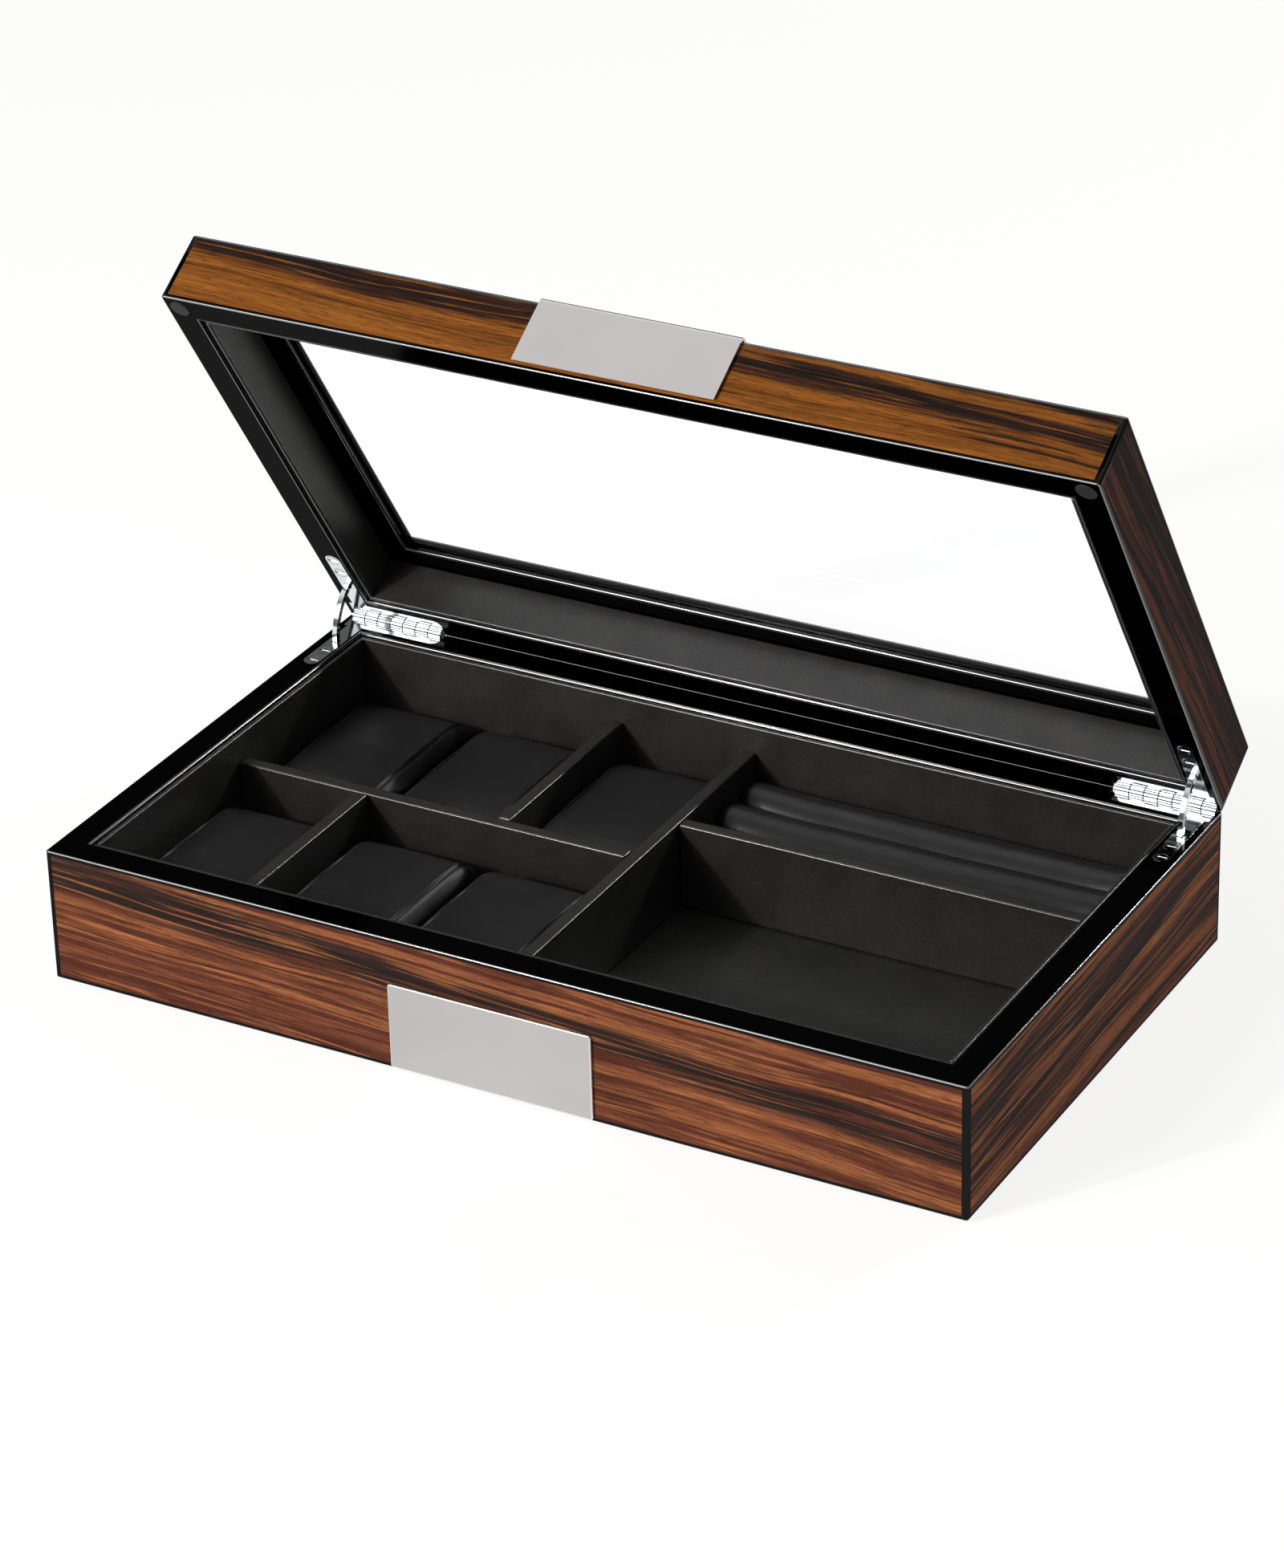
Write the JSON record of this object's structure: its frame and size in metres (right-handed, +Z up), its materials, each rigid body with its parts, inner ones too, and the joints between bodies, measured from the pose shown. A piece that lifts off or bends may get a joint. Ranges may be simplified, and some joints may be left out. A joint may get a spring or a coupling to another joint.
{
  "type": "cufflink display box",
  "caption": "Lacquered, veneered box with a glazed hinged lid, padded pillow cells, a wide lined compartment and a tray of padded rolls.",
  "frame": {"origin": "centre of the underside, where the felt rests on the table", "axes": "+X along the box to the right as seen from the front, +Y to the hinged back, +Z up; the lid is open by 57.2 degrees at rest"},
  "size_m": [0.37, 0.2383, 0.2502],
  "materials": {
    "lacquer": "polished black lacquer over fibreboard",
    "base_veneer": "lacquered striped red-brown veneer",
    "lid_veneer": "lacquered striped orange-brown veneer",
    "leatherette": "fine-grained charcoal leatherette on card",
    "padding": "soft black leatherette over foam",
    "felt": "black flocked felt",
    "plate_steel": "fine brushed, clear coated",
    "hinge_chrome": "bright chrome",
    "glass": "clear polished",
    "rubber": "black moulded rubber"
  },
  "bodies": {
    "base": {"base_front_wall": "lacquer", "base_right_wall": "lacquer", "base_back_wall": "lacquer", "base_left_wall": "lacquer", "base_front_veneer": "base_veneer", "base_right_veneer": "base_veneer", "base_back_veneer": "base_veneer", "base_left_veneer": "base_veneer", "bottom_panel": "lacquer", "felt_base": "felt", "base_liner": "leatherette", "floor_liner": "leatherette", "base_plate": "plate_steel", "long_divider": "leatherette", "row_divider": "leatherette", "back_cell_divider": "leatherette", "front_cell_divider": "leatherette", "tray_divider": "leatherette", "tray_roll_1": "padding", "tray_roll_2": "padding", "tray_roll_3": "padding", "right_base_leaf": "hinge_chrome", "left_base_leaf": "hinge_chrome", "right_hinge_pin": "hinge_chrome", "left_hinge_pin": "hinge_chrome", "right_base_screw_1": "hinge_chrome", "right_base_screw_2": "hinge_chrome", "left_base_screw_1": "hinge_chrome", "left_base_screw_2": "hinge_chrome"},
    "lid": {"lid_front_rail": "lacquer", "lid_right_rail": "lacquer", "lid_back_rail": "lacquer", "lid_left_rail": "lacquer", "lid_front_veneer": "lid_veneer", "lid_right_veneer": "lid_veneer", "lid_back_veneer": "lid_veneer", "lid_left_veneer": "lid_veneer", "lid_top_frame": "lacquer", "lid_top_veneer": "lid_veneer", "window_glass": "glass", "glass_bead": "lacquer", "lid_liner": "leatherette", "lid_plate": "plate_steel", "right_bumper": "rubber", "left_bumper": "rubber", "right_lid_leaf": "hinge_chrome", "left_lid_leaf": "hinge_chrome", "right_lid_screw_1": "hinge_chrome", "right_lid_screw_2": "hinge_chrome", "left_lid_screw_1": "hinge_chrome", "left_lid_screw_2": "hinge_chrome"},
    "right_arm": {"right_hinge_arm": "hinge_chrome"},
    "left_arm": {"left_hinge_arm": "hinge_chrome"},
    "back_left_pillow": {"back_pillow_1": "padding"},
    "back_middle_pillow": {"back_pillow_2": "padding"},
    "back_right_pillow": {"back_pillow_3": "padding"},
    "front_left_pillow": {"front_pillow_1": "padding"},
    "front_middle_pillow": {"front_pillow_2": "padding"},
    "front_right_pillow": {"front_pillow_3": "padding"}
  },
  "joints": [
    {"name": "lid_hinge", "type": "hinge", "parent": "base", "child": "lid", "pos_m": [0, 0.1065, 0.0545], "axis": [-1, 0, 0], "range_deg": [-57.2, 32.8]},
    {"name": "right_arm_slide", "type": "hinge", "parent": "base", "child": "right_arm", "pos_m": [0.1783, 0.1065, 0.0545], "axis": [-1, 0, 0], "range_deg": [-28.6, 16.4]},
    {"name": "left_arm_slide", "type": "hinge", "parent": "base", "child": "left_arm", "pos_m": [-0.1783, 0.1065, 0.0545], "axis": [-1, 0, 0], "range_deg": [-28.6, 16.4]},
    {"name": "back_left_pillow_lift", "type": "slide", "parent": "base", "child": "back_left_pillow", "axis": [0, 0, 1], "range_m": [0, 0.05]},
    {"name": "back_middle_pillow_lift", "type": "slide", "parent": "base", "child": "back_middle_pillow", "axis": [0, 0, 1], "range_m": [0, 0.05]},
    {"name": "back_right_pillow_lift", "type": "slide", "parent": "base", "child": "back_right_pillow", "axis": [0, 0, 1], "range_m": [0, 0.05]},
    {"name": "front_left_pillow_lift", "type": "slide", "parent": "base", "child": "front_left_pillow", "axis": [0, 0, 1], "range_m": [0, 0.05]},
    {"name": "front_middle_pillow_lift", "type": "slide", "parent": "base", "child": "front_middle_pillow", "axis": [0, 0, 1], "range_m": [0, 0.05]},
    {"name": "front_right_pillow_lift", "type": "slide", "parent": "base", "child": "front_right_pillow", "axis": [0, 0, 1], "range_m": [0, 0.05]}
  ],
  "couplings": [
    {"joint": "right_arm_slide", "follows": "lid_hinge", "ratio": 0.5},
    {"joint": "left_arm_slide", "follows": "lid_hinge", "ratio": 0.5}
  ]
}
